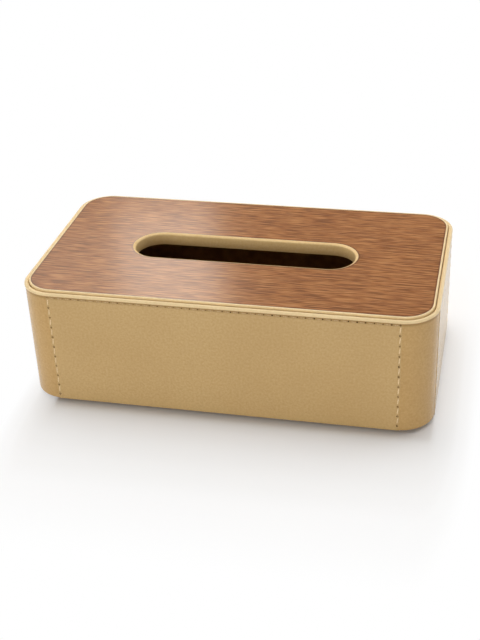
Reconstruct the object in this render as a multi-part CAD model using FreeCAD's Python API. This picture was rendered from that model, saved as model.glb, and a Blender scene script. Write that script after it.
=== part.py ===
import FreeCAD, Part
import os

# Tissue box holder: a leather-covered box with a lift-off walnut lid. Millimetres, +Z up.
# The origin is on the table under the middle of the box, +X runs along its length and -Y is its front.
# Wall and edge pieces are sections (n, z): n runs inwards from the outside of the leather, z is the height.

# Body, measured on the outside of the leather
BODY_LENGTH = 250.0
BODY_DEPTH = 140.0
BODY_HEIGHT = 75.3            # underside of the leather to the top of the rim
CORNER_RADIUS = 20.5

# Sheets and boards
LEATHER = 0.8
CORNER_LEATHER = 0.6          # pared, so that the wall panels stand proud of it at the seams
LINING = 0.6
WALL_BOARD = 7.0
BASE_BOARD = 5.0
LID_CORE = 6.2
VENEER = 0.9

# Underside
HEM = 9.0                     # leather turned in under the base
FOLD_BEVEL_SHARE = 1.4        # of the leather's thickness, on the outside of its fold
HEM_CLEARANCE = 0.3           # raw edge of the hem to the bottom cover
FOOT_HEIGHT = 1.5
FOOT_WIDTH = 10.0             # square
FOOT_MARGIN = 9.0             # edge of the bottom cover to the foot, both ways

# Rim
LIP = 1.1                     # board left standing outside the rebate for the lid
BINDING_PROUD = 0.2           # binding stands out from the leather below it
BINDING_SKIRT = 0.1           # straight part of the binding below its round top, outside
BINDING_INNER = 0.5           # thickness of the binding inside the lip

# Lid
LID_GAP = 0.4                 # all round, between the lid and the rim
LID_PROUD = 1.0               # leather edge of the lid above the top of the rim
EDGE_BAND_LAP = 0.3           # edge band over the top of the board, up to the veneer
EDGE_BAND_BEVEL = 0.5         # on the outer edge of the band
EDGE_BAND_PROUD = 0.05        # above the veneer

# Slot, measured at its clear opening
SLOT_LENGTH = 139.5
SLOT_WIDTH = 31.5
SLOT_BEVEL = 1.5              # on the edge of the slot, so that tissues slide over it
SLOT_FLAT = 0.2               # flat leather between the bevel and the veneer
COLLAR_PROUD = 0.05           # above the veneer

# Heights
leather_low = FOOT_HEIGHT
base_low = leather_low + LEATHER
base_top = base_low + BASE_BOARD
rim_top = leather_low + BODY_HEIGHT
lip_top = rim_top - LEATHER
edge_band_top = rim_top + LID_PROUD
lid_top = edge_band_top - EDGE_BAND_PROUD
collar_top = lid_top + COLLAR_PROUD
core_top = lid_top - VENEER
core_low = core_top - LID_CORE
seat = core_low - LINING      # underside of the lid
ledge = seat - LINING         # board under the flannel that carries the lid

# Distances inwards
board_inside = LEATHER + WALL_BOARD
lining_inside = board_inside + LINING
lip_inside = LEATHER + LIP
rim_inside = lip_inside + BINDING_INNER
lid_outside = rim_inside + LID_GAP
hem_inside = HEM + HEM_CLEARANCE

# Round top of the rim
bead_radius = (rim_inside + BINDING_PROUD) / 2
bead_centre = (rim_inside - bead_radius, rim_top - bead_radius)
binding_low = bead_centre[1] - BINDING_SKIRT

# Leather edging of the lid
edge_band_width = LEATHER + EDGE_BAND_LAP
slot_lip_width = SLOT_BEVEL + SLOT_FLAT

# Each side with the turn that brings it into place, and the corner that follows it
SIDES = {"front": 90, "left": 0, "back": 270, "right": 180}
CORNERS = {"front": "front_left", "left": "back_left", "back": "back_right", "right": "front_right"}
SAME = 1e-6                   # lengths that differ by less are equal

UP = FreeCAD.Vector(0, 0, 1)
MIDDLE = FreeCAD.Vector(0, 0, 0)


def section(*steps):
    """Closed face through points (n, z). A step is a point, or the middle and end of an arc."""
    def place(point):
        return FreeCAD.Vector(point[0], 0, point[1])

    last = place(steps[0])
    edges = []
    for step in steps[1:] + steps[:1]:
        if isinstance(step[0], tuple):
            middle, end = place(step[0]), place(step[1])
            edges.append(Part.Arc(last, middle, end).toShape())
        else:
            end = place(step)
            edges.append(Part.LineSegment(last, end).toShape())
        last = end
    return Part.Face(Part.Wire(edges))


class Outline:
    """Rounded rectangle round the origin. Sections follow it, and plates fill it."""

    def __init__(self, length, depth, radius):
        self.length = length
        self.depth = depth
        self.radius = radius

    def inset(self, distance):
        return Outline(self.length - 2 * distance, self.depth - 2 * distance, self.radius - distance)

    def sizes(self, side):
        """Half the size across a side, and the length of its straight run."""
        if side in ("front", "back"):
            return self.depth / 2, self.length - 2 * self.radius
        return self.length / 2, self.depth - 2 * self.radius

    def straight(self, face, side):
        """Section run along the straight part of a side."""
        half_across, run = self.sizes(side)
        start = face.translated(FreeCAD.Vector(-half_across, -run / 2, 0))
        return start.extrude(FreeCAD.Vector(0, run, 0)).rotated(MIDDLE, UP, SIDES[side])

    def corner(self, face, side):
        """Section turned round the corner that follows a side."""
        half_across, run = self.sizes(side)
        start = face.translated(FreeCAD.Vector(-half_across, run / 2, 0))
        axis = FreeCAD.Vector(self.radius - half_across, run / 2, 0)
        return start.revolve(axis, UP, -90).rotated(MIDDLE, UP, SIDES[side])

    def loop(self, face):
        """Section run all the way round."""
        pieces = [self.corner(face, side) for side in SIDES]
        pieces += [self.straight(face, side) for side in SIDES if self.sizes(side)[1] > SAME]
        return pieces[0].fuse(pieces[1:]).removeSplitter()

    def plate(self, low, high):
        """Solid of this outline between two heights."""
        edges = []
        for side, turn in SIDES.items():
            half_across, run = self.sizes(side)
            centre = FreeCAD.Vector(self.radius - half_across, run / 2, low)
            bend = [Part.makeCircle(self.radius, centre, UP, 90, 180)]
            if run > SAME:
                ends = [FreeCAD.Vector(-half_across, y, low) for y in (-run / 2, run / 2)]
                bend.append(Part.makeLine(*ends))
            edges += [edge.rotated(MIDDLE, UP, turn) for edge in bend]
        wire = Part.Wire(Part.__sortEdges__(edges))
        return Part.Face(wire).extrude(FreeCAD.Vector(0, 0, high - low))


BODY = Outline(BODY_LENGTH, BODY_DEPTH, CORNER_RADIUS)
LID = BODY.inset(lid_outside)
SLOT = Outline(SLOT_LENGTH, SLOT_WIDTH, SLOT_WIDTH / 2)


def board_section():
    """Wall board with the rebate that leaves the lip and the ledge."""
    return section((LEATHER, base_top), (LEATHER, lip_top), (lip_inside, lip_top), (lip_inside, ledge),
                   (board_inside, ledge), (board_inside, base_top))


def leather_section(thickness):
    """Leather on a wall: up to the binding, and folded in under the base."""
    outside = LEATHER - thickness
    low = base_low - thickness
    bevel = FOLD_BEVEL_SHARE * thickness
    return section((outside, binding_low), (outside, low + bevel), (outside + bevel, low), (HEM, low),
                   (HEM, base_low), (LEATHER, base_low), (LEATHER, binding_low))


def binding_section():
    """Leather folded over the lip, with a round top and a leg down to the ledge."""
    round_top = ((bead_centre[0], rim_top), (rim_inside, bead_centre[1]))
    return section((-BINDING_PROUD, binding_low), (-BINDING_PROUD, bead_centre[1]), round_top,
                   (rim_inside, ledge), (lip_inside, ledge), (lip_inside, lip_top), (LEATHER, lip_top),
                   (LEATHER, binding_low))


def edging_section(top, bevel, width, side):
    """Leather over a cut edge of the lid, up to the veneer; side is 1 inwards, -1 outwards."""
    return section((0, seat), (0, top - bevel), (side * bevel, top), (side * width, top),
                   (side * width, core_top), (side * LEATHER, core_top), (side * LEATHER, seat))


def walls():
    """Boards, corner posts and their leather, one of each for every side or corner."""
    board = board_section()
    panel = leather_section(LEATHER)
    wrap = leather_section(CORNER_LEATHER)
    pieces = {}
    for side, corner in CORNERS.items():
        pieces[side + "_board"] = BODY.straight(board, side)
        pieces[corner + "_post"] = BODY.corner(board, side)
        pieces[side + "_leather"] = BODY.straight(panel, side)
        pieces[corner + "_leather"] = BODY.corner(wrap, side)
    return pieces


def linings():
    """Flannel inside the walls and over the ledge, up to the binding, and on the floor."""
    strip = section((board_inside, base_top), (board_inside, ledge), (rim_inside, ledge), (rim_inside, seat),
                    (lining_inside, seat), (lining_inside, base_top))
    return {
        "wall_lining": BODY.loop(strip),
        "floor_lining": BODY.inset(lining_inside).plate(base_top, base_top + LINING),
    }


def underside():
    """Sheet that covers the base inside the hem, and the four pads on it."""
    pieces = {"bottom_cover": BODY.inset(hem_inside).plate(leather_low, base_low)}
    inset = hem_inside + FOOT_MARGIN + FOOT_WIDTH / 2
    for corner in CORNERS.values():
        x = (BODY_LENGTH / 2 - inset) * (1 if "right" in corner else -1)
        y = (BODY_DEPTH / 2 - inset) * (1 if "back" in corner else -1)
        start = FreeCAD.Vector(x - FOOT_WIDTH / 2, y - FOOT_WIDTH / 2, 0)
        pieces[corner + "_foot"] = Part.makeBox(FOOT_WIDTH, FOOT_WIDTH, FOOT_HEIGHT, start)
    return pieces


def lid():
    """Board with flannel below, walnut veneer above, and leather over its outer edge and its slot."""
    core = LID.inset(LEATHER)
    veneer = LID.inset(edge_band_width)
    hole = SLOT.inset(-LEATHER)
    veneer_hole = SLOT.inset(-slot_lip_width)
    return {
        "lid_core": core.plate(core_low, core_top).cut(hole.plate(core_low, core_top)),
        "lid_lining": core.plate(seat, core_low).cut(hole.plate(seat, core_low)),
        "walnut_panel": veneer.plate(core_top, lid_top).cut(veneer_hole.plate(core_top, lid_top)),
        "lid_edge_band": LID.loop(edging_section(edge_band_top, EDGE_BAND_BEVEL, edge_band_width, 1)),
        "slot_collar": SLOT.loop(edging_section(collar_top, SLOT_BEVEL, slot_lip_width, -1)),
    }


def main():
    pieces = {
        "base_board": BODY.inset(LEATHER).plate(base_low, base_top),
        "rim_binding": BODY.loop(binding_section()),
    }
    for group in (walls(), linings(), underside(), lid()):
        pieces.update(group)
    os.makedirs("parts", exist_ok=True)
    for name, shape in pieces.items():
        shape.exportStep(f"parts/{name}.step")
        print(f"{name}: {len(shape.Solids)} solid, {shape.Volume:.0f} mm3")


main()
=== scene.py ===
from math import atan2, cos, degrees, exp, pi, radians, sin, tan

import bmesh
import bpy
from mathutils import Matrix, Vector, noise


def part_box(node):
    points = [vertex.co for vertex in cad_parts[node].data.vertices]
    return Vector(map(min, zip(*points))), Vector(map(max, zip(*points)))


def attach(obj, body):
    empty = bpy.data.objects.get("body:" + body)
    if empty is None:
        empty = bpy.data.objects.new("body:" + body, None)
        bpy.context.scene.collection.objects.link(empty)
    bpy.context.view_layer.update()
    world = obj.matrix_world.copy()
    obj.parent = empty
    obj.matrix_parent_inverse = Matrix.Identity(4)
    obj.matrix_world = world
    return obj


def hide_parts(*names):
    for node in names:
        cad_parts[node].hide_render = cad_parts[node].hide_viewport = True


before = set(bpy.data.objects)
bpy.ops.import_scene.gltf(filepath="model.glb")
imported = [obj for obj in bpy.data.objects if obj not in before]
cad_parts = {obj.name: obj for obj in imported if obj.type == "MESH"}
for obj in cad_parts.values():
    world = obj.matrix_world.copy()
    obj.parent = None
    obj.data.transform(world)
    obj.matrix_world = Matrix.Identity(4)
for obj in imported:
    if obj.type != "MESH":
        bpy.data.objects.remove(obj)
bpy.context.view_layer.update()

mm = 0.001                     # sizes in the dictionaries are millimetres, apart from the studio's, which are metres
near = 0.01 * mm               # points closer than this lie on one line
tiny = 0.0001 * mm             # a step smaller than this is none
print("frame loaded,", len(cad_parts), "nodes")


# Small helpers

def linear(colour):
    # sRGB hex to the linear colour that shaders take
    parts = [int(colour[i:i + 2], 16) / 255 for i in (1, 3, 5)]
    return tuple(c / 12.92 if c <= 0.04045 else ((c + 0.055) / 1.055) ** 2.4 for c in parts) + (1.0,)


def perMetre(size):
    # texture scale that gives features of this many millimetres
    return 1 / (size * mm)


def addNode(tree, kind, inputs=None, **settings):
    # a socket takes a link where it is given another node's output, and a value otherwise
    made = tree.nodes.new("ShaderNode" + kind)
    for name, value in settings.items():
        setattr(made, name, value)
    for socket, value in (inputs or {}).items():
        if isinstance(value, bpy.types.NodeSocket):
            tree.links.new(value, made.inputs[socket])
        else:
            made.inputs[socket].default_value = value
    return made


def startMaterial(name, **fixed):
    # new material with the values that are the same all over it, and the coordinates of its patterns
    made = bpy.data.materials.new(name)
    made.use_nodes = True
    tree = made.node_tree
    shader = tree.nodes["Principled BSDF"]
    for socket, value in fixed.items():
        shader.inputs[socket.replace("_", " ")].default_value = value
    return made, tree, shader, addNode(tree, "TexCoord").outputs["Object"]


def awayFromBox(tree, place, half):
    # distance outside an upright box of this half size round the origin
    folded = addNode(tree, "VectorMath", {0: place}, operation="ABSOLUTE")
    past = addNode(tree, "VectorMath", {0: folded.outputs[0], 1: half}, operation="SUBTRACT")
    outside = addNode(tree, "VectorMath", {0: past.outputs[0], 1: (0, 0, 0)}, operation="MAXIMUM")
    return outside.outputs[0]


def pick(piece, mode, test):
    # selects by place or normal, in edit mode
    bpy.ops.mesh.select_mode(type=mode)
    bpy.ops.mesh.select_all(action="DESELECT")
    mesh = bmesh.from_edit_mesh(piece.data)
    for part in {"VERT": mesh.verts, "EDGE": mesh.edges, "FACE": mesh.faces}[mode]:
        part.select_set(test(part))
    mesh.select_flush_mode()
    bmesh.update_edit_mesh(piece.data)


def startPiece(materials):
    # the primitive just added: its place goes into its mesh, and it opens in edit mode
    piece = bpy.context.object
    bpy.ops.object.transform_apply(location=True, rotation=True, scale=True)
    for material in materials:
        piece.data.materials.append(material)
    piece.active_material_index = 0
    bpy.ops.object.mode_set(mode="EDIT")
    return piece


def cutAcross(axis, places):
    # cuts the whole sheet across X (0), Y (1) or Z (2) at these places
    direction = Vector([float(i == axis) for i in range(3)])
    for place in places:
        bpy.ops.mesh.select_all(action="SELECT")
        bpy.ops.mesh.bisect(plane_co=direction * place, plane_no=direction)


def closeEdit(piece, facing):
    # doubles merged, and the sheet's faces turned to the side that facing gives for a face
    bpy.ops.mesh.select_all(action="SELECT")
    bpy.ops.mesh.remove_doubles(threshold=0.002 * mm)
    bpy.ops.mesh.normals_make_consistent(inside=False)
    mesh = bmesh.from_edit_mesh(piece.data)
    if sum(face.normal.dot(facing(face)) * face.calc_area() for face in mesh.faces) < 0:
        bpy.ops.mesh.flip_normals()
    bpy.ops.object.mode_set(mode="OBJECT")


def applyModifier(piece, kind, **settings):
    modifier = piece.modifiers.new(kind.title(), kind)
    for name, value in settings.items():
        setattr(modifier, name, value)
    bpy.context.view_layer.objects.active = piece
    bpy.ops.object.modifier_apply(modifier=modifier.name)


def roundCuts(piece, width):
    # rounds the sharp edges that cutting leaves
    applyModifier(piece, "BEVEL", width=width * mm, segments=2, limit_method="ANGLE", angle_limit=radians(60))


def smooth(piece, angle):
    # faces that meet at less than this angle, in degrees, are shaded as one
    bpy.ops.object.select_all(action="DESELECT")
    piece.select_set(True)
    bpy.context.view_layer.objects.active = piece
    bpy.ops.object.shade_smooth_by_angle(angle=radians(angle))


def copyPiece(piece, turn=0, about=Vector(), to=Vector()):
    # a copy with its own mesh: the point about goes to another, and the copy turns round it
    copy = piece.copy()
    copy.data = piece.data.copy()
    bpy.context.scene.collection.objects.link(copy)
    copy.data.transform(Matrix.Translation(to) @ Matrix.Rotation(radians(turn), 4, "Z") @ Matrix.Translation(-about))
    return copy


def joinPieces(pieces):
    bpy.ops.object.select_all(action="DESELECT")
    for piece in pieces:
        piece.select_set(True)
    bpy.context.view_layer.objects.active = pieces[0]
    bpy.ops.object.join()
    return pieces[0]


def cornerName(corner, kind):
    # front_left and Wrap give FrontLeftWrap
    return corner.replace("_", " ").title().replace(" ", "") + kind


def finishPiece(piece, name, body, stands=()):
    # stands: nodes of the CAD that it stands in for
    piece.name = name
    piece.data.name = name
    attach(piece, body)
    if stands:
        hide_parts(*stands)


# Materials

leatherLook = {
    "tan": "#BC9B66",          # general tone
    "pale": "#C9AA76",         # where the coat lies thick
    "dark": "#AD8A55",         # where it is worn thin
    "mottle": 1.4,             # cloudy tone changes, mm
    "mottleSpread": (0.32, 0.68),      # noise at which they are tan and pale
    "patch": 60,               # wide tone changes over a hide, mm
    "patchSpread": (0.3, 0.7),
    "patchShare": 0.3,         # how dark they become
    "grain": 1.1,              # hair-cell grain is 0.3 mm, coarsened so that it shows
    "fuzz": 0.5,               # fine tooth of the coat, mm
    "relief": 0.07,            # height of the grain, mm
    "roughness": 0.18,
    "glossChange": 0.1,        # less and more rough over the tooth
    "underBindingShade": (1.04, 2.6),     # painted shade below the binding, where it shades the panel: full down to here and gone there, mm
    "underBindingShadeTone": "#8A6A3A",      # tone of that painted shade
    "underBindingShadeShare": 0.55,       # and how far the leather takes it on
}
# a darker copy of the leather for the corner wraps: painted shade, where the corners turn from the light
shadedCornerLook = {**leatherLook, "tan": "#B8945D", "pale": "#C5A26B", "dark": "#A9844E", "roughness": 0.24}
# stretched over an edge and smoother in its grain; paler: painted highlight for the light its rounded top catches
# from above
litRolledLook = {**leatherLook, "tan": "#E4C997", "pale": "#ECD2A4", "dark": "#DABE8B", "relief": 0.04,
              "roughness": 0.34, "underBindingShade": None}
# pared thin to go round the slot; paler than the leather: painted light on the slot's wall, which little light
# reaches
litParedLook = {**litRolledLook, "tan": "#E1BE83", "pale": "#E8C891", "dark": "#D7B377"}


def tanLeather(name, look):
    # coated split leather, plated with a fine grain: satin, soft in the light, small clouds in its tone
    made, tree, shader, place = startMaterial(name, IOR=1.36)
    mottle = addNode(tree, "TexNoise", {"Vector": place, "Scale": perMetre(look["mottle"]), "Detail": 3.0,
                                        "Roughness": 0.6})
    patch = addNode(tree, "TexNoise", {"Vector": place, "Scale": perMetre(look["patch"]), "Detail": 2.0})
    pebble = addNode(tree, "TexVoronoi", {"Vector": place, "Scale": perMetre(look["grain"])},
                     feature="SMOOTH_F1")
    fuzz = addNode(tree, "TexNoise", {"Vector": place, "Scale": perMetre(look["fuzz"]), "Detail": 2.0})
    clouds = addNode(tree, "MapRange", {"Value": mottle.outputs["Fac"], "From Min": look["mottleSpread"][0],
                                        "From Max": look["mottleSpread"][1]})
    wide = addNode(tree, "MapRange", {"Value": patch.outputs["Fac"], "From Min": look["patchSpread"][0],
                                      "From Max": look["patchSpread"][1], "To Max": look["patchShare"]})
    tone = addNode(tree, "Mix", {0: clouds.outputs[0], 6: linear(look["tan"]), 7: linear(look["pale"])},
                   data_type="RGBA")
    wornAndShaded = addNode(tree, "Mix", {0: wide.outputs[0], 6: tone.outputs[2], 7: linear(look["dark"])},
                   data_type="RGBA")
    # painted shade: a darker band on the leather just below the binding, where the binding shades it
    if look["underBindingShade"]:
        height = addNode(tree, "SeparateXYZ", {0: place})
        full, gone = [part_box("front_leather")[1].z - depth * mm for depth in look["underBindingShade"]]
        bindingShade = addNode(tree, "MapRange", {"Value": height.outputs["Z"], "From Min": gone, "From Max": full,
                                           "To Max": look["underBindingShadeShare"]}, interpolation_type="SMOOTHSTEP")
        wornAndShaded = addNode(tree, "Mix", {0: bindingShade.outputs[0], 6: wornAndShaded.outputs[2], 7: linear(look["underBindingShadeTone"])},
                       data_type="RGBA")
    tree.links.new(wornAndShaded.outputs[2], shader.inputs["Base Color"])
    gloss = addNode(tree, "MapRange", {"Value": fuzz.outputs["Fac"],
                                       "To Min": look["roughness"] - look["glossChange"],
                                       "To Max": look["roughness"] + look["glossChange"]})
    tree.links.new(gloss.outputs[0], shader.inputs["Roughness"])
    tooth = addNode(tree, "Math", {0: fuzz.outputs["Fac"], 1: pebble.outputs["Distance"]}, operation="ADD")
    bump = addNode(tree, "Bump", {"Height": tooth.outputs[0], "Strength": 0.35, "Distance": look["relief"] * mm})
    tree.links.new(bump.outputs[0], shader.inputs["Normal"])
    return made


cutEdgeLook = {"fibre": "#C2A06A", "dyed": "#B08D58", "grit": 0.6}      # grit: fibres of the split, mm


def leatherCutEdge():
    # raw edge of split leather, dyed by hand: darker than the face, dull and fibrous
    made, tree, shader, place = startMaterial("leatherEdgeDyed", Roughness=0.85)
    fibre = addNode(tree, "TexNoise", {"Vector": place, "Scale": perMetre(cutEdgeLook["grit"]), "Detail": 3.0})
    tone = addNode(tree, "Mix", {0: fibre.outputs["Fac"], 6: linear(cutEdgeLook["fibre"]),
                                 7: linear(cutEdgeLook["dyed"])}, data_type="RGBA")
    tree.links.new(tone.outputs[2], shader.inputs["Base Color"])
    bump = addNode(tree, "Bump", {"Height": fibre.outputs["Fac"], "Strength": 0.5, "Distance": 0.1 * mm})
    tree.links.new(bump.outputs[0], shader.inputs["Normal"])
    return made


# ply: from one strand of the twist to the next, mm
seamThreadLook = {"pale": "#F7E4BF", "dark": "#D0AE78", "ply": 0.8}
rowThreadLook = {"pale": "#C8A878", "dark": "#A88858", "ply": 0.8}


def sewingThread(name, look):
    # waxed polyester thread, twisted from plies: soft shine, slanting darker lines between the plies
    made, tree, shader, place = startMaterial(name, Roughness=0.55, Sheen_Weight=0.3, Sheen_Roughness=0.4)
    slant = addNode(tree, "Mapping", {"Vector": place, "Rotation": (0, radians(45), 0)})
    twist = addNode(tree, "TexWave", {"Vector": slant.outputs[0], "Scale": pi / 10 * perMetre(look["ply"]),
                                      "Distortion": 0.6, "Detail": 1.0}, bands_direction="X")
    tone = addNode(tree, "Mix", {0: twist.outputs["Fac"], 6: linear(look["dark"]), 7: linear(look["pale"])},
                   data_type="RGBA")
    tree.links.new(tone.outputs[2], shader.inputs["Base Color"])
    bump = addNode(tree, "Bump", {"Height": twist.outputs["Fac"], "Strength": 0.5, "Distance": 0.1 * mm})
    tree.links.new(bump.outputs[0], shader.inputs["Normal"])
    return made


awlLook = {"holeShadeDark": "#2A1503", "brown": "#462808", "grit": 0.4}         # grit: torn fibres, mm


def awlHole():
    # leather pierced by an awl, rough; dark inside: painted shade of the hole
    made, tree, shader, place = startMaterial("leatherPiercedPaintedShade", Roughness=0.9, Specular_IOR_Level=0.05)
    grit = addNode(tree, "TexNoise", {"Vector": place, "Scale": perMetre(awlLook["grit"]), "Detail": 2.0})
    tone = addNode(tree, "Mix", {0: grit.outputs["Fac"], 6: linear(awlLook["holeShadeDark"]), 7: linear(awlLook["brown"])},
                   data_type="RGBA")
    tree.links.new(tone.outputs[2], shader.inputs["Base Color"])
    return made


walnutLook = {
    "dark": "#764316",         # late wood
    "mid": "#995E2A",          # body of the wood
    "light": "#B57B46",        # early wood
    "pore": "#5A3210",
    # noise with sizes along and across the grain, mm, and the levels of it that count as none and all;
    # streaks are coarsened from 0.4 mm across and pores from 0.2 mm, so that they show
    "fibre": {"size": (28, 1.35), "detail": 2.0, "roughness": 0.5, "levels": (0.33, 0.67)},    # streaks
    "fine": {"size": (16, 0.75), "detail": 2.0, "roughness": 0.6, "levels": (0.35, 0.65)},     # finer ones between
    "pores": {"size": (12, 0.9), "detail": 1.0, "roughness": 0.5, "levels": (0.58, 0.72)},     # open pores
    "tone": {"size": (70, 16), "detail": 2.0, "roughness": 0.5, "levels": (0.35, 0.65)},       # broad changes
    "figure": {"size": (110, 40), "detail": 1.0, "roughness": 0.5},        # wandering of the grain
    "wander": 1.6,             # how far it wanders off its line, mm
    "fineShare": 2.0,          # weight of the finer streaks, where the others have 1
    "toneShare": 0.25,         # and of the broad changes
    "spread": (0.85, 2.4),     # sum of the three at which the wood is darkest and lightest
    "poreShare": 0.6,          # how dark the pores are
    "edge": (0.2, 1.3),        # painted shade along the cut edges, where the proud leather shades the veneer: full to here, gone there, mm
    "edgeShadeShare": 0.7,
}


def walnutVeneer():
    # sliced walnut veneer under satin lacquer: short streaks and open pores along the grain, which wanders
    # into low arches, and a lacquer that mirrors a bright card softly
    made, tree, shader, place = startMaterial("walnutVeneerLacquered", IOR=1.45, Specular_IOR_Level=0.1,
                                              Coat_Weight=1.0, Coat_Roughness=0.17, Coat_IOR=1.5)
    look = walnutLook

    def alongGrain(layer, start):
        # noise drawn out along the grain
        stretch = addNode(tree, "Mapping", {"Vector": start, "Scale": [perMetre(s) for s in layer["size"]] + [1]})
        return addNode(tree, "TexNoise", {"Vector": stretch.outputs[0], "Scale": 1.0, "Detail": layer["detail"],
                                          "Roughness": layer["roughness"]})

    figure = alongGrain(look["figure"], place)
    wander = addNode(tree, "VectorMath", {0: figure.outputs["Color"], 1: (0, look["wander"] * mm, 0), 2: place},
                     operation="MULTIPLY_ADD").outputs[0]
    layers = []
    for name, most in {"fibre": 1, "fine": 1, "tone": 1, "pores": look["poreShare"]}.items():
        none, every = look[name]["levels"]
        layers.append(addNode(tree, "MapRange", {"Value": alongGrain(look[name], wander).outputs["Fac"],
                                                 "From Min": none, "From Max": every, "To Max": most}))
    streaks, hairs, broad, pores = layers
    both = addNode(tree, "Math", {0: hairs.outputs[0], 1: look["fineShare"], 2: streaks.outputs[0]},
                   operation="MULTIPLY_ADD")
    share = addNode(tree, "Math", {0: broad.outputs[0], 1: look["toneShare"], 2: both.outputs[0]},
                    operation="MULTIPLY_ADD")
    darkest, lightest = look["spread"]
    spread = addNode(tree, "MapRange", {"Value": share.outputs[0], "From Min": darkest, "From Max": lightest})
    tone = addNode(tree, "ValToRGB", {0: spread.outputs[0]})
    ramp = tone.color_ramp
    ramp.elements[0].color, ramp.elements[1].color = linear(look["dark"]), linear(look["light"])
    ramp.elements.new(0.5).color = linear(look["mid"])
    pored = addNode(tree, "Mix", {0: pores.outputs[0], 6: tone.outputs[0], 7: linear(look["pore"])},
                    data_type="RGBA")
    # cut edges, outside and at the slot: half of the straight runs, radius of the bends, and where the wood lies,
    # -1 inside them and 1 outside
    cornerAxis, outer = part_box("front_left_leather")[1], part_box("walnut_panel")[1]
    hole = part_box("slot_collar")[1]
    cuts = [(-cornerAxis.x, -cornerAxis.y, outer.x + cornerAxis.x, -1), (hole.x - hole.y, 0, hole.y, 1)]
    # painted shade: the veneer darkens towards its cut edges, outside and at the slot, where the leather stands proud
    # of it
    full, gone = look["edge"]
    lines = []
    for halfLength, halfDepth, radius, side in cuts:
        past = awayFromBox(tree, place, (halfLength, halfDepth, 1))
        away = addNode(tree, "VectorMath", {0: past}, operation="LENGTH")
        lines.append(addNode(tree, "MapRange", {"Value": away.outputs["Value"],
                                                "From Min": radius + side * gone * mm,
                                                "From Max": radius + side * full * mm,
                                                "To Max": look["edgeShadeShare"]}).outputs[0])
    line = addNode(tree, "Math", {0: lines[0], 1: lines[1]}, operation="MAXIMUM")
    edged = addNode(tree, "Mix", {0: line.outputs[0], 6: pored.outputs[2], 7: linear(look["pore"])},
                    data_type="RGBA")
    tree.links.new(edged.outputs[2], shader.inputs["Base Color"])
    matt = addNode(tree, "MapRange", {"Value": streaks.outputs[0], "To Min": 0.45, "To Max": 0.65})
    tree.links.new(matt.outputs[0], shader.inputs["Roughness"])
    bump = addNode(tree, "Bump", {"Height": pores.outputs[0], "Strength": 0.4, "Distance": 0.05 * mm},
                   invert=True)
    tree.links.new(bump.outputs[0], shader.inputs["Normal"])
    return made


boardLook = {"dark": "#9A7B58", "light": "#B9986F", "felt": 1.5}        # felt: tufts of wood fibre, mm


def fibreboard():
    # sanded fibreboard: even brown felt of wood fibre, dull
    made, tree, shader, place = startMaterial("fibreboardSanded", Roughness=0.9)
    felt = addNode(tree, "TexNoise", {"Vector": place, "Scale": perMetre(boardLook["felt"]), "Detail": 4.0,
                                      "Roughness": 0.7})
    tone = addNode(tree, "Mix", {0: felt.outputs["Fac"], 6: linear(boardLook["dark"]), 7: linear(boardLook["light"])},
                   data_type="RGBA")
    tree.links.new(tone.outputs[2], shader.inputs["Base Color"])
    bump = addNode(tree, "Bump", {"Height": felt.outputs["Fac"], "Strength": 0.3, "Distance": 0.1 * mm})
    tree.links.new(bump.outputs[0], shader.inputs["Normal"])
    return made


# nap: tufts of the cloth, mm; brushed: how many times as wide the patches are that brushing leaves
flannelLook = {"dark": "#7C5A36", "light": "#A6784A", "nap": 0.5, "brushed": 14}
feltLook = {"dark": "#15110D", "light": "#2A221A", "nap": 0.9, "brushed": 14}


def flannel(name, look):
    # brushed cotton flannel, or felt: no shine, a pale bloom of nap where it is seen edge on
    made, tree, shader, place = startMaterial(name, Roughness=0.95, Specular_IOR_Level=0.15, Sheen_Weight=0.25,
                                              Sheen_Roughness=0.5)
    tuft = addNode(tree, "TexNoise", {"Vector": place, "Scale": perMetre(look["nap"]), "Detail": 4.0,
                                      "Roughness": 0.7})
    brushed = addNode(tree, "TexNoise", {"Vector": place, "Scale": perMetre(look["nap"] * look["brushed"]),
                                         "Detail": 2.0})
    both = addNode(tree, "Math", {0: tuft.outputs["Fac"], 1: brushed.outputs["Fac"]}, operation="MULTIPLY")
    tone = addNode(tree, "MapRange", {"Value": both.outputs[0], "From Min": 0.12, "From Max": 0.4})
    colour = addNode(tree, "Mix", {0: tone.outputs[0], 6: linear(look["dark"]), 7: linear(look["light"])},
                     data_type="RGBA")
    tree.links.new(colour.outputs[2], shader.inputs["Base Color"])
    bump = addNode(tree, "Bump", {"Height": tuft.outputs["Fac"], "Strength": 0.6, "Distance": 0.25 * mm})
    tree.links.new(bump.outputs[0], shader.inputs["Normal"])
    return made


foamLook = {"dark": "#1E1D1C", "light": "#34322F", "cell": 0.6}         # cell: bubbles of the foam, mm


def foamRubber():
    # die-cut foam rubber: charcoal, matt, full of small cells
    made, tree, shader, place = startMaterial("foamRubberCut", Roughness=0.8)
    cell = addNode(tree, "TexVoronoi", {"Vector": place, "Scale": perMetre(foamLook["cell"])})
    tone = addNode(tree, "Mix", {0: cell.outputs["Distance"], 6: linear(foamLook["dark"]),
                                 7: linear(foamLook["light"])}, data_type="RGBA")
    tree.links.new(tone.outputs[2], shader.inputs["Base Color"])
    bump = addNode(tree, "Bump", {"Height": cell.outputs["Distance"], "Strength": 0.6, "Distance": 0.1 * mm})
    tree.links.new(bump.outputs[0], shader.inputs["Normal"])
    return made


leather = tanLeather("tanLeatherPlated", leatherLook)
# a darker copy of the leather: painted shade on the corner wraps
shadedCornerLeather = tanLeather("tanLeatherCornerPaintedShade", shadedCornerLook)
# a paler copy of the leather: painted highlight on the rim binding and the lid's edging
litRolledLeather = tanLeather("tanLeatherRolledPaintedLight", litRolledLook)
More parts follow.
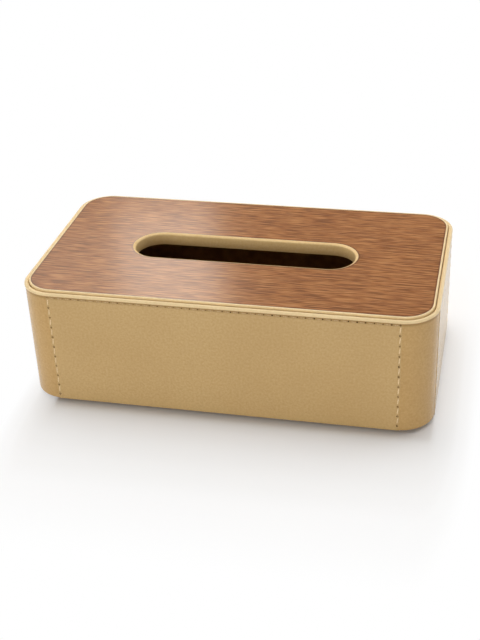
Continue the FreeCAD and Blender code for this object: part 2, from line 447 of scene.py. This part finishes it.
# a paler copy of the leather: painted light on the slot's wall
litParedLeather = tanLeather("tanLeatherParedPaintedLight", litParedLook)
cutEdge = leatherCutEdge()
seamThread = sewingThread("seamThreadWaxed", seamThreadLook)
rowThread = sewingThread("rowThreadTan", rowThreadLook)
pierced = awlHole()
walnut = walnutVeneer()
board = fibreboard()
napped = flannel("flannelNapped", flannelLook)
pressed = flannel("feltPressed", feltLook)
foam = foamRubber()
print("materials made")


# Leather panels of the walls: one modelled for the front and back, and one for the left and right

panel = {
    "thickness": 0.8,
    "lap": 1.1,                # on to the corner, past the end of the straight wall
    "foldRadius": 1.6,         # bend under the base
    "foldSteps": 7,
    "cut": 0.16,               # rounding of the cut edges
    "tuck": 0.3,               # top edge drawn in under the binding
    "tuckWidth": 1.0,
    "wave": 0.05,              # leather doesn't lie quite flat
    "waveLength": 24,
    "waveEnd": 4,              # the waves die out over this much below the top
}
sewing = {
    "seamInset": 1.0,          # stitches from the cut edge of the panel
    "seamPitch": 6.87,
    "seamHoles": 11,           # the first is the end of the row
    "rowDrop": 1.3,            # row of stitches below the binding
    "rowPitch": 4.85,
    "groove": 0.12,            # leather drawn down along the stitches
    "holeDip": 0.22,           # and further at the holes
    "dipPower": 6,             # higher for a dip that keeps closer to its hole
    "grooveWidth": 0.75,
    "columns": (-2.6, -1.7, -1.1, -0.7, -0.35, 0, 0.35, 0.7),   # extra cuts beside a line of stitches
}


class Wall:
    # the straight wall of the CAD seen as a front, in metres: half its length, and how far out it stands
    def __init__(self, node, along, across):
        low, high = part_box(node)
        self.half = high[along] + panel["lap"] * mm
        self.out = low[across]
        self.low, self.top = low.z, high.z
        self.hem = high[across] - low[across]
        self.seam = self.half - sewing["seamInset"] * mm
        self.row = self.top - sewing["rowDrop"] * mm
        self.seamHoles = [self.row - i * sewing["seamPitch"] * mm for i in range(sewing["seamHoles"])]
        steps = round(2 * self.seam / (sewing["rowPitch"] * mm))
        self.rowPitch = 2 * self.seam / steps
        self.rowHoles = [-self.seam + i * self.rowPitch for i in range(steps + 1)]

    def dip(self, x, z):
        # how deep the stitches draw the leather in at a place on the wall
        width, pitch = sewing["grooveWidth"] * mm, sewing["seamPitch"] * mm
        atHole = cos(pi * (z - self.seamHoles[0]) / pitch) ** sewing["dipPower"]
        depth = exp(-((abs(x) - self.seam) / width) ** 2) * (sewing["groove"] + sewing["holeDip"] * atHole)
        inRow = abs(x) <= self.seam + width
        atHole = cos(pi * (x - self.seam) / self.rowPitch) ** sewing["dipPower"] if inRow else 0
        rowDepth = exp(-((z - self.row) / width) ** 2) * (sewing["groove"] + sewing["holeDip"] * atHole)
        tuck = panel["tuck"] * exp(-((self.top - z) / (panel["tuckWidth"] * mm)) ** 2)
        return max(depth, rowDepth, tuck) * mm


def sewnPanel(wall):
    fold, bottom = panel["foldRadius"] * mm, wall.low + panel["foldRadius"] * mm
    bpy.ops.object.select_all(action="DESELECT")
    bpy.ops.mesh.primitive_plane_add(size=1, location=(0, wall.out, (wall.top + bottom) / 2),
                                     rotation=(radians(90), 0, 0))
    bpy.context.object.scale = (2 * wall.half, wall.top - bottom, 1)
    piece = startPiece([leather, cutEdge])
    quarter = wall.rowPitch / 4
    columns = [-wall.seam + i * quarter for i in range(1, round(2 * wall.seam / quarter))]
    columns += [side * (wall.seam + step * mm) for side in (-1, 1) for step in sewing["columns"]]
    quarter = sewing["seamPitch"] * mm / 4
    rows = [wall.seamHoles[0] + i * quarter for i in range(-4 * sewing["seamHoles"], 1)]
    rows = [z for z in rows if bottom < z < wall.top]
    rows += [wall.row + step * mm for step in sewing["columns"]]
    cutAcross(0, columns)
    cutAcross(2, rows)
    pick(piece, "EDGE", lambda edge: all(abs(v.co.z - bottom) < near for v in edge.verts))
    bpy.ops.mesh.spin(steps=panel["foldSteps"], angle=radians(-90), center=(0, wall.out + fold, bottom),
                      axis=(1, 0, 0))
    bpy.ops.mesh.extrude_region_move(TRANSFORM_OT_translate={"value": (0, wall.hem - fold, 0)})
    closeEdit(piece, lambda face: Vector((0, -1, -1)))
    for vertex in piece.data.vertices:
        x, y, z = vertex.co
        if y < wall.out + near:
            wave = noise.noise(Vector((x, z, wall.out)) / (panel["waveLength"] * mm)) - 0.5
            wave *= panel["wave"] * mm * min(1, (wall.top - z) / (panel["waveEnd"] * mm))
            vertex.co.y += wall.dip(x, z) - wave
    applyModifier(piece, "SOLIDIFY", thickness=panel["thickness"] * mm, offset=-1, material_offset_rim=1)
    roundCuts(piece, panel["cut"])
    smooth(piece, 50)
    return piece


walls = {"front": Wall("front_leather", 0, 1), "left": Wall("left_leather", 1, 0)}
panelTurns = {"front": ("front", 0), "back": ("front", 180), "left": ("left", -90), "right": ("left", 90)}
madePanels = {name: sewnPanel(wall) for name, wall in walls.items()}
for name, (model, turn) in panelTurns.items():
    finishPiece(copyPiece(madePanels[model], turn), name + "Panel", "box", [name + "_leather"])
for piece in madePanels.values():
    bpy.data.objects.remove(piece)
print("leather panels sewn")


# Stitches: one stitch and one hole modelled, then copied along the seams and the row under the binding

stitch = {
    "seamRadius": 0.31,
    "rowRadius": 0.28,
    "sides": 8,
    "rings": 7,
    "reach": 0.78,             # share of the pitch that the thread spans
    "dive": 0.5,               # ends go this deep into their holes
    "sink": 0.2,               # middle of the thread below the face of the leather
    "rise": 5,                 # higher for a steeper upper end
    "fall": 2,                 # and for a steeper lower end
    "taper": 0.35,             # drawn thinner at the ends, share of the radius
    "slant": 5,                # degrees off the line of the seam
    "slantChange": 0.3,        # share by which that differs from stitch to stitch
    "holeRadius": 0.6,
    "holeSides": 10,
    "holeLip": (0.12, 0.03),   # across and down
    "holeDish": (0.14, 0.08),
    "holeLift": 0.16,          # above the bottom of the dip round it
    "holeChange": 0.12,        # share by which the size differs from hole to hole
    "rowHole": 0.578,          # size of the row's holes in its middle, share of those in the seams
    "rowOpen": 0.17,           # more than that at one end, and less at the other
    "rowChange": 0.136,        # and from hole to hole
}


def threadStitch(radius, length, material):
    # thread lying along Z on a front, with both ends diving into the leather
    bpy.ops.object.select_all(action="DESELECT")
    bpy.ops.mesh.primitive_cylinder_add(vertices=stitch["sides"], radius=radius * mm, depth=length)
    piece = startPiece([material])
    cutAcross(2, [length * (i / stitch["rings"] - 0.5) for i in range(1, stitch["rings"])])
    closeEdit(piece, lambda face: face.calc_center_median() * Vector((1, 1, 0)))
    for vertex in piece.data.vertices:
        share = abs(vertex.co.z) / (length / 2)
        bend = share ** stitch["rise" if vertex.co.z > 0 else "fall"]
        vertex.co.x *= 1 - stitch["taper"] * bend
        vertex.co.y = vertex.co.y * (1 - stitch["taper"] * bend) + stitch["dive"] * mm * bend
    smooth(piece, 80)
    return piece


def awlMark():
    # dished round mark of the awl on a front
    bpy.ops.object.select_all(action="DESELECT")
    bpy.ops.mesh.primitive_circle_add(vertices=stitch["holeSides"], radius=stitch["holeRadius"] * mm,
                                      fill_type="NGON", rotation=(radians(90), 0, 0))
    # its dark finish is painted shade of the hole
    piece = startPiece([pierced])
    bpy.ops.mesh.select_all(action="SELECT")
    for across, down in (stitch["holeLip"], stitch["holeDish"]):
        bpy.ops.mesh.inset(thickness=across * mm, depth=-down * mm)
    closeEdit(piece, lambda face: Vector((0, -1, 0)))
    smooth(piece, 60)
    return piece


def placeAlong(model, spots, upright, out):
    # copies of one stitch or hole at their spots and sizes on a front, joined into one piece
    copies = []
    for i, (x, z, depth, size) in enumerate(spots):
        copy = copyPiece(model)
        tilt = radians(stitch["slant"] * (1 + stitch["slantChange"] * sin(7 * i)))
        turn = Matrix.Rotation(tilt if upright else radians(90) + tilt, 4, "Y")
        copy.data.transform(Matrix.Translation((x, out + depth, z)) @ turn @ Matrix.Scale(size, 4))
        copies.append(copy)
    return joinPieces(copies)


def sewWall(wall):
    sunk = stitch["sink"] * mm
    holeDepth = (sewing["groove"] + sewing["holeDip"] - stitch["holeLift"]) * mm
    seamModel = threadStitch(stitch["seamRadius"], stitch["reach"] * sewing["seamPitch"] * mm, seamThread)
    rowModel = threadStitch(stitch["rowRadius"], stitch["reach"] * wall.rowPitch, rowThread)
    mark = awlMark()
    seamSpots = [(side * wall.seam, (a + b) / 2, sunk, 1) for side in (-1, 1)
                 for a, b in zip(wall.seamHoles, wall.seamHoles[1:])]
    rowSpots = [((a + b) / 2, wall.row, sunk, 1) for a, b in zip(wall.rowHoles, wall.rowHoles[1:])]
    holes = [(side * wall.seam, z, holeDepth, 1 + stitch["holeChange"] * sin(5 * i)) for side in (-1, 1)
             for i, z in enumerate(wall.seamHoles[1:])]
    for i, x in enumerate(wall.rowHoles):
        size = stitch["rowHole"] + stitch["rowOpen"] * x / wall.seam + stitch["rowChange"] * sin(5 * i)
        holes.append((x, wall.row, holeDepth, size))
    made = {
        "SeamThread": placeAlong(seamModel, seamSpots, True, wall.out),
        "RowThread": placeAlong(rowModel, rowSpots, False, wall.out),
        "StitchHoles": placeAlong(mark, holes, True, wall.out),
    }
    for model in (seamModel, rowModel, mark):
        bpy.data.objects.remove(model)
    return made


madeStitches = {name: sewWall(wall) for name, wall in walls.items()}
for name, (model, turn) in panelTurns.items():
    for kind, piece in madeStitches[model].items():
        finishPiece(copyPiece(piece, turn), name + kind, "box")
for pieces in madeStitches.values():
    for piece in pieces.values():
        bpy.data.objects.remove(piece)
print("stitches placed")


# Leather wraps of the corners: one spun, then copied to each corner

wrap = {
    "thickness": 0.6,
    "rowHeight": 3.0,          # of its mesh
    "steps": 52,               # round the corner
    "tuck": 0.06,              # edges dip under the panels
    "tuckWidth": 0.9,
}


def cornerWrap():
    low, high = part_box("front_left_leather")
    fold, bottom = panel["foldRadius"] * mm, low.z + panel["foldRadius"] * mm
    axis, out, height = Vector((high.x, high.y, 0)), low.y, high.z - bottom
    hemEnd = walls["front"].out + walls["front"].hem
    bpy.ops.object.select_all(action="DESELECT")
    bpy.ops.mesh.primitive_plane_add(size=height, location=(axis.x + height / 2, out, (high.z + bottom) / 2),
                                     rotation=(radians(90), 0, 0))
    piece = startPiece([shadedCornerLeather, cutEdge])
    pick(piece, "VERT", lambda v: v.co.x > axis.x + height / 2)      # one upright edge stays
    bpy.ops.mesh.delete(type="VERT")
    bpy.ops.mesh.select_all(action="SELECT")
    bpy.ops.mesh.subdivide(number_cuts=round(height / (wrap["rowHeight"] * mm)))
    pick(piece, "VERT", lambda v: v.co.z < bottom + near)
    bpy.ops.mesh.spin(steps=panel["foldSteps"], angle=radians(-90), center=(axis.x, out + fold, bottom),
                      axis=(1, 0, 0))
    bpy.ops.mesh.extrude_region_move(TRANSFORM_OT_translate={"value": (0, hemEnd - out - fold, 0)})
    bpy.ops.mesh.select_all(action="SELECT")
    bpy.ops.mesh.spin(steps=wrap["steps"], angle=radians(90), center=axis, axis=(0, 0, 1))
    closeEdit(piece, lambda face: (face.calc_center_median() - axis) * Vector((1, 1, 0)))
    radius = axis.y - out
    for vertex in piece.data.vertices:
        arm = (vertex.co - axis) * Vector((1, 1, 0))
        turn = min(abs(arm.x), abs(arm.y)) / arm.length
        past = max(0, turn * radius - panel["lap"] * mm) / (wrap["tuckWidth"] * mm)
        vertex.co -= arm.normalized() * wrap["tuck"] * mm * exp(-past ** 2) * (arm.length / radius)
    applyModifier(piece, "SOLIDIFY", thickness=wrap["thickness"] * mm, offset=-1, material_offset_rim=1)
    smooth(piece, 50)
    return piece, axis


madeWrap, wrapAxis = cornerWrap()
for name, turn in {"front_left": 0, "front_right": 90, "back_right": 180, "back_left": 270}.items():
    low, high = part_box(name + "_leather")
    axis = Vector((high.x if "left" in name else low.x, high.y if "front" in name else low.y, 0))
    piece = copyPiece(madeWrap, turn, wrapAxis, axis)
    finishPiece(piece, cornerName(name, "Wrap"), "box", [name + "_leather"])
bpy.data.objects.remove(madeWrap)
print("corner wraps spun")


# Rings of folded leather: a rounded face steps in and up or down along the fold's profile (inwards, height)

def arcPoints(centre, radius, start, end, steps):
    turns = [radians(start + (end - start) * i / steps) for i in range(1, steps + 1)]
    return [(centre[0] + radius * cos(t), centre[1] + radius * sin(t)) for t in turns]


def foldedRing(node, material, corner, profile, thickness, edge, cornerSteps=30):
    low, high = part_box(node)
    bpy.ops.object.select_all(action="DESELECT")
    bpy.ops.mesh.primitive_plane_add(size=1, location=(0, 0, profile[0][1]))
    bpy.context.object.scale = (high.x - low.x, high.y - low.y, 1)
    piece = startPiece([material, cutEdge])
    bpy.ops.mesh.select_all(action="SELECT")
    bpy.ops.mesh.bevel(offset=corner, segments=cornerSteps, affect="VERTICES")
    bpy.ops.mesh.select_all(action="SELECT")
    bpy.ops.mesh.remove_doubles(threshold=0.005 * mm)      # where two bends meet, at the ends of the slot
    for (lastIn, lastUp), (inwards, up) in zip(profile, profile[1:]):
        if inwards - lastIn < tiny:
            bpy.ops.mesh.extrude_region_move(TRANSFORM_OT_translate={"value": (0, 0, up - lastUp)})
        else:
            bpy.ops.mesh.inset(thickness=inwards - lastIn, depth=up - lastUp)
    pick(piece, "FACE", lambda face: len(face.verts) > 4)      # the flat faces inside the ring
    bpy.ops.mesh.delete(type="FACE")
    closeEdit(piece, lambda face: Vector((0, 0, 1)))
    applyModifier(piece, "SOLIDIFY", thickness=thickness * mm, offset=-1, use_even_offset=True,
                  material_offset_rim=1)
    roundCuts(piece, edge)
    smooth(piece, 50)
    return piece


def cornerRadius(node):
    # of a ring that turns about the same axes as the wraps
    return wrapAxis.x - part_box(node)[0].x


binding = {
    "thickness": 0.45,
    "bead": 1.38,              # radius of the round top
    "steps": 16,               # round it
    "skirt": 0.05,             # straight part below it, outside
    "edge": 0.14,              # rounding of the cut edges
}


def rimBinding():
    low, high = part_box("rim_binding")
    bead, middle = binding["bead"] * mm, high.z - binding["bead"] * mm
    profile = [(0, middle - binding["skirt"] * mm), (0, middle)]
    profile += arcPoints((bead, middle), bead, 180, 0, binding["steps"]) + [(2 * bead, low.z)]
    return foldedRing("rim_binding", litRolledLeather, cornerRadius("rim_binding"), profile, binding["thickness"],
                      binding["edge"])


finishPiece(rimBinding(), "RimBinding", "box", ["rim_binding"])

edging = {
    "thickness": 0.5,
    "round": 0.55,             # radius of the outer edge
    "inner": 0.05,             # and beside the veneer
    "steps": (8, 4),           # round these two
    "edge": 0.1,               # rounding of the cut edges
}


def lidEdging():
    low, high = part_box("lid_edge_band")
    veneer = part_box("walnut_panel")[0]
    width, outer, inner = veneer.x - low.x, edging["round"] * mm, edging["inner"] * mm
    outerSteps, innerSteps = edging["steps"]
    profile = [(0, low.z), (0, high.z - outer)]
    profile += arcPoints((outer, high.z - outer), outer, 180, 90, outerSteps)
    profile += arcPoints((width - inner, high.z - inner), inner, 90, 0, innerSteps) + [(width, veneer.z)]
    return foldedRing("lid_edge_band", litRolledLeather, cornerRadius("lid_edge_band"), profile, edging["thickness"],
                      edging["edge"])


finishPiece(lidEdging(), "LidEdging", "lid", ["lid_edge_band"])

collar = {
    "thickness": 0.5,
    "flat": 0.2,               # between the veneer and the bevel
    "bevel": 1.5,              # across
    "drop": 0.75,              # and down, less than the solid's, since leather lies full over an edge
    "outer": 0.04,             # rounding beside the veneer
    "brow": 0.35,              # above the bevel
    "bend": 1.0,               # below it
    "steps": (4, 3, 6),        # round these three
    "cornerSteps": 40,         # in a quarter turn of the slot
    "edge": 0.1,               # rounding of the cut edges
}


def slotCollar():
    low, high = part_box("slot_collar")
    flat, bevel, drop, outer = [collar[part] * mm for part in ("flat", "bevel", "drop", "outer")]
    width, brow, bend = bevel + flat, collar["brow"] * mm, collar["bend"] * mm
    outerSteps, browSteps, bendSteps = collar["steps"]
    slope = degrees(atan2(drop, bevel))
    profile = [(0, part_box("walnut_panel")[0].z), (0, high.z - outer)]
    profile += arcPoints((outer, high.z - outer), outer, 180, 90, outerSteps)
    profile += arcPoints((flat - brow * tan(radians(slope / 2)), high.z - brow), brow, 90, 90 - slope, browSteps)
    foot = high.z - drop - bend * tan(radians(45 - slope / 2))
    profile += arcPoints((width - bend, foot), bend, 90 - slope, 0, bendSteps) + [(width, low.z)]
    return foldedRing("slot_collar", litParedLeather, (high.y - low.y) / 2, profile, collar["thickness"],
                      collar["edge"], collar["cornerSteps"])


finishPiece(slotCollar(), "SlotCollar", "lid", ["slot_collar"])
print("rim, lid edging and slot collar folded")


# Pads under the base: one modelled, then copied to each corner

pad = {"corner": 2.4, "cornerSteps": 6, "edge": 0.18, "edgeSteps": 2}


def footPad(node):
    low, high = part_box(node)
    bpy.ops.object.select_all(action="DESELECT")
    bpy.ops.mesh.primitive_cube_add(size=1, location=(low + high) / 2)
    bpy.context.object.scale = high - low
    piece = startPiece([foam])
    pick(piece, "EDGE", lambda edge: abs(edge.verts[0].co.z - edge.verts[1].co.z) > near)
    bpy.ops.mesh.bevel(offset=pad["corner"] * mm, segments=pad["cornerSteps"], affect="EDGES")
    pick(piece, "FACE", lambda face: abs(face.normal.z) > 0.9)
    bpy.ops.mesh.bevel(offset=pad["edge"] * mm, segments=pad["edgeSteps"], affect="EDGES")
    closeEdit(piece, lambda face: face.calc_center_median() - (low + high) / 2)
    smooth(piece, 40)
    return piece


madePad = footPad("front_left_foot")
padLow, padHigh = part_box("front_left_foot")
for name in ("front_left", "front_right", "back_right", "back_left"):
    low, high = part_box(name + "_foot")
    piece = copyPiece(madePad, 0, (padLow + padHigh) / 2, (low + high) / 2)
    finishPiece(piece, cornerName(name, "Pad"), "box", [name + "_foot"])
bpy.data.objects.remove(madePad)
print("pads made")


# Boards, linings and veneer keep their solids and get their finish

finishes = {
    "walnut_panel": walnut,
    "lid_core": board,
    "wall_lining": napped,
    "floor_lining": napped,
    "lid_lining": napped,
    "bottom_cover": pressed,
}
for node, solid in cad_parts.items():
    finish = board if node.endswith(("_board", "_post")) else finishes.get(node)
    if finish:
        solid.data.materials.clear()
        solid.data.materials.append(finish)
print("solids finished")


# Studio: pale floor, soft boxes and the camera where the photograph was taken

studio = {
    "white": "#FFFFFF",
    "floor": "#F2F1F0",
    "fleck": "#F0EFEE",        # fibres of the paper
    "fleckSize": 60,           # mm
    "floorSize": 60,
    # lit paper near the box turns into plain white further out
    "fadeHalf": (0.1145, 0.066, 0),    # half size of the ground that stays lit paper
    "fadeShift": (0.0085, 0, 0),       # to the right, as the shadow leans
    "fadeShape": (5, 1, 1),            # the paper turns white sooner beside the box than before it
    "fadeEnd": 0.14,                   # before the box, where it is plain white
    "fade": {0.03: 0, 0.1: 0.28, 0.16: 0.37, 0.3: 0.46, 0.46: 0.55, 0.62: 0.72, 1: 1},   # share on the way there
    "horizon": 1.0,            # white walls round the table
    "ceiling": 0.15,           # dim room above them
    "wallTop": (0.17, 0.36),   # sine of the height at which the walls end, from and to
}


def studioFloor():
    # white paper: lit near the box, so that it holds the shadow, and plain white further out for what looks at it
    made, tree, shader, place = startMaterial("studioPaper", Roughness=0.9, Specular_IOR_Level=0.1)
    fleck = addNode(tree, "TexNoise", {"Vector": place, "Scale": perMetre(studio["fleckSize"]), "Detail": 2.0})
    colour = addNode(tree, "Mix", {0: fleck.outputs["Fac"], 6: linear(studio["fleck"]), 7: linear(studio["floor"])},
                     data_type="RGBA")
    tree.links.new(colour.outputs[2], shader.inputs["Base Color"])
    leaning = addNode(tree, "VectorMath", {0: place, 1: studio["fadeShift"]}, operation="SUBTRACT").outputs[0]
    oval = addNode(tree, "VectorMath", {0: awayFromBox(tree, leaning, studio["fadeHalf"]), 1: studio["fadeShape"]},
                   operation="MULTIPLY")
    away = addNode(tree, "VectorMath", {0: oval.outputs[0]}, operation="LENGTH")
    way = addNode(tree, "MapRange", {"Value": away.outputs["Value"], "From Max": studio["fadeEnd"]})
    fade = addNode(tree, "ValToRGB", {0: way.outputs[0]})
    first, *rest, last = [(spot, (level, level, level, 1)) for spot, level in studio["fade"].items()]
    for element, (spot, level) in zip(fade.color_ramp.elements, (first, last)):
        element.position, element.color = spot, level
    for spot, level in rest:
        fade.color_ramp.elements.new(spot).color = level
    fade.color_ramp.interpolation = "EASE"
    path = addNode(tree, "LightPath").outputs
    seen = addNode(tree, "Math", {0: path["Is Camera Ray"], 1: path["Is Glossy Ray"]}, operation="MAXIMUM")
    seen = addNode(tree, "Math", {0: seen.outputs[0], 1: path["Is Transmission Ray"]}, operation="MAXIMUM")
    share = addNode(tree, "Math", {0: seen.outputs[0], 1: fade.outputs[0]}, operation="MULTIPLY")
    white = addNode(tree, "Emission", {"Color": linear(studio["white"]), "Strength": 1.0})
    both = addNode(tree, "MixShader", {0: share.outputs[0], 1: shader.outputs[0], 2: white.outputs[0]})
    tree.links.new(both.outputs[0], tree.nodes["Material Output"].inputs["Surface"])
    return made


bpy.ops.object.select_all(action="DESELECT")
bpy.ops.mesh.primitive_plane_add(size=studio["floorSize"])
floor = bpy.context.object
floor.name = "StudioFloor"
floor.data.materials.append(studioFloor())

lamps = {
    # place in metres, size in metres, and level: how bright the panel looks, where 1 is white
    "backCard": {"place": (-0.529, 1.503, 1.112), "aim": (0, 0, 0.077), "size": (0.226, 0.597), "level": 3.65,
                 "colour": "#FFF3E6"},
    "backLeftCard": {"place": (-0.755, 1.403, 1.112), "aim": (0, 0, 0.077), "size": (0.262, 0.597), "level": 1.2,
                     "colour": "#FFF3E6"},
    "overhead": {"place": (-0.1, 0.72, 1.35), "aim": (-0.1, 0.72, 0), "size": (2.4, 1.56), "level": 2.55},
    "leftBox": {"place": (-1.5, -0.3, 0.75), "aim": (0, 0, 0.05), "size": (1.0, 0.9), "level": 1.0},
    "frontFill": {"place": (-0.3, -1.6, 0.26), "aim": (0, 0, 0.05), "size": (2.2, 0.5), "level": 3.1,
                  "mirrored": False},     # or the lid turns white from behind
    "rightBox": {"place": (1.3, 1.0, 0.7), "aim": (0, 0, 0.05), "size": (1.0, 0.9), "level": 1.3},
}
for name, lamp in lamps.items():
    toward = Vector(lamp["aim"]) - Vector(lamp["place"])
    turned = toward.to_track_quat("-Z", "Y").to_euler()
    bpy.ops.object.light_add(type="AREA", location=lamp["place"], rotation=turned)
    light = bpy.context.object
    light.name = name
    light.data.shape = "RECTANGLE"
    light.data.size, light.data.size_y = lamp["size"]
    light.data.energy = lamp["level"] * pi * lamp["size"][0] * lamp["size"][1]
    light.data.color = linear(lamp.get("colour", studio["white"]))[:3]
    light.visible_glossy = lamp.get("mirrored", True)


def studioRoom():
    # white walls up to a certain height, dim above, so that the lid mirrors only the card
    room = bpy.data.worlds.new("studioRoom")
    room.use_nodes = True
    tree = room.node_tree
    height = addNode(tree, "SeparateXYZ", {0: addNode(tree, "TexCoord").outputs["Generated"]})
    low, high = studio["wallTop"]
    level = addNode(tree, "MapRange", {"Value": height.outputs["Z"], "From Min": low, "From Max": high,
                                       "To Min": studio["horizon"], "To Max": studio["ceiling"]},
                    interpolation_type="SMOOTHSTEP")
    tree.links.new(level.outputs[0], tree.nodes["Background"].inputs["Strength"])
    tree.nodes["Background"].inputs["Color"].default_value = linear(studio["white"])
    return room


bpy.context.scene.world = studioRoom()
bpy.context.scene.view_settings.view_transform = "Standard"

view = {
    "place": (0.1537, -0.6378, 0.4159),
    "turn": 13.94,             # degrees to the left, from facing the front squarely
    "tilt": 59.37,             # degrees up, from looking straight down
    "roll": -2.63,             # degrees
    "lens": 66.53,             # mm
    "sensor": 36,              # mm, the long side of the picture
}
facing = (Matrix.Rotation(radians(view["turn"]), 3, "Z") @ Matrix.Rotation(radians(view["tilt"]), 3, "X")
          @ Matrix.Rotation(radians(view["roll"]), 3, "Z"))
bpy.ops.object.camera_add(location=view["place"], rotation=facing.to_euler())
camera = bpy.context.object
camera.data.lens = view["lens"]
camera.data.sensor_width = view["sensor"]
bpy.context.scene.camera = camera
print("studio lit")
